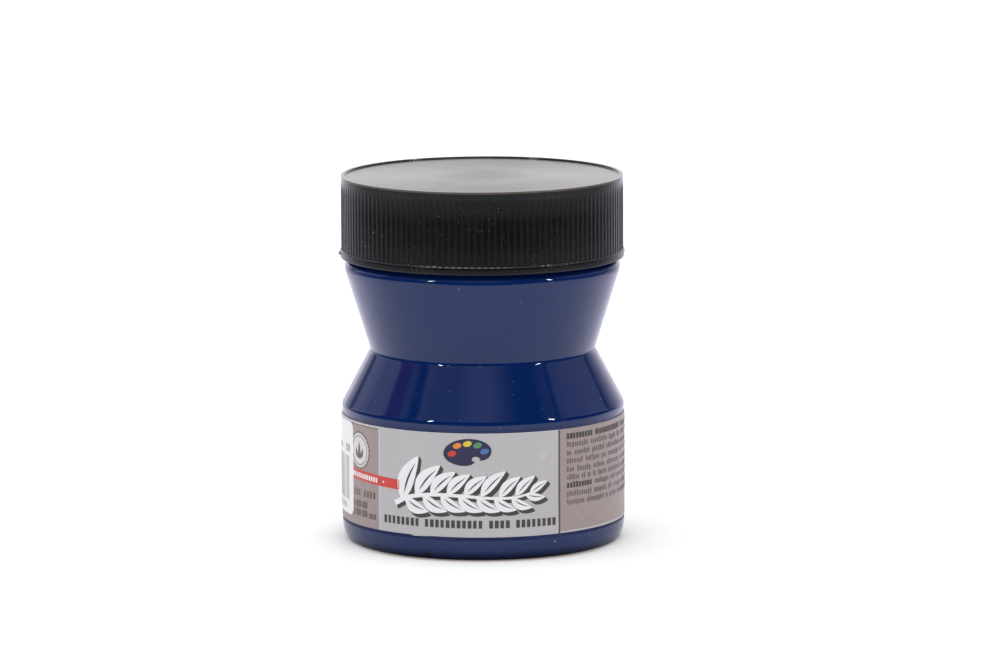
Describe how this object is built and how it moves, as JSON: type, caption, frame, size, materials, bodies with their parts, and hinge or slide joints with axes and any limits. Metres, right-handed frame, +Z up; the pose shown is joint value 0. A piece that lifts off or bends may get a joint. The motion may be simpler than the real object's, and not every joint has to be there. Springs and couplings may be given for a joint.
{
  "type": "paint jar",
  "caption": "Waisted clear plastic paint jar with a threaded neck, blue acrylic paint inside, a ribbed black screw lid with a sealing liner, a wrap label and a barcode sticker.",
  "frame": {"origin": "centre of the foot ring, on the plane the jar stands on", "axes": "+Z up along the jar's axis; -Y is the front, where the middle of the label's front panel faces; +X is to the right seen from the front"},
  "size_m": [0.0662, 0.0662, 0.0852],
  "materials": {
    "clear_plastic": "clear, glossy, smooth",
    "blue_paint": "wet, glossy deep blue acrylic paint",
    "black_plastic": "satin black moulded plastic",
    "liner_foam": "white foamed sealing wad",
    "label_film": "silver-grey printed film with taupe side panels",
    "sticker_paper": "white matt paper sticker"
  },
  "bodies": {
    "jar": {"jar_body": "clear_plastic", "paint_fill": "blue_paint", "wrap_label": "label_film", "barcode_sticker": "sticker_paper"},
    "liner": {"lid_liner": "liner_foam"},
    "lid": {"screw_lid": "black_plastic"}
  },
  "joints": [
    {"name": "lid_lift", "type": "slide", "parent": "jar", "child": "liner", "axis": [0, 0, 1], "range_m": [0, 0.0191]},
    {"name": "lid_turn", "type": "hinge", "parent": "liner", "child": "lid", "pos_m": [0, 0, 0.08215], "axis": [0, 0, 1], "range_deg": [0, 1620]}
  ],
  "couplings": [
    {"joint": "lid_lift", "follows": "lid_turn", "m_per_rad": 0.00067376}
  ]
}
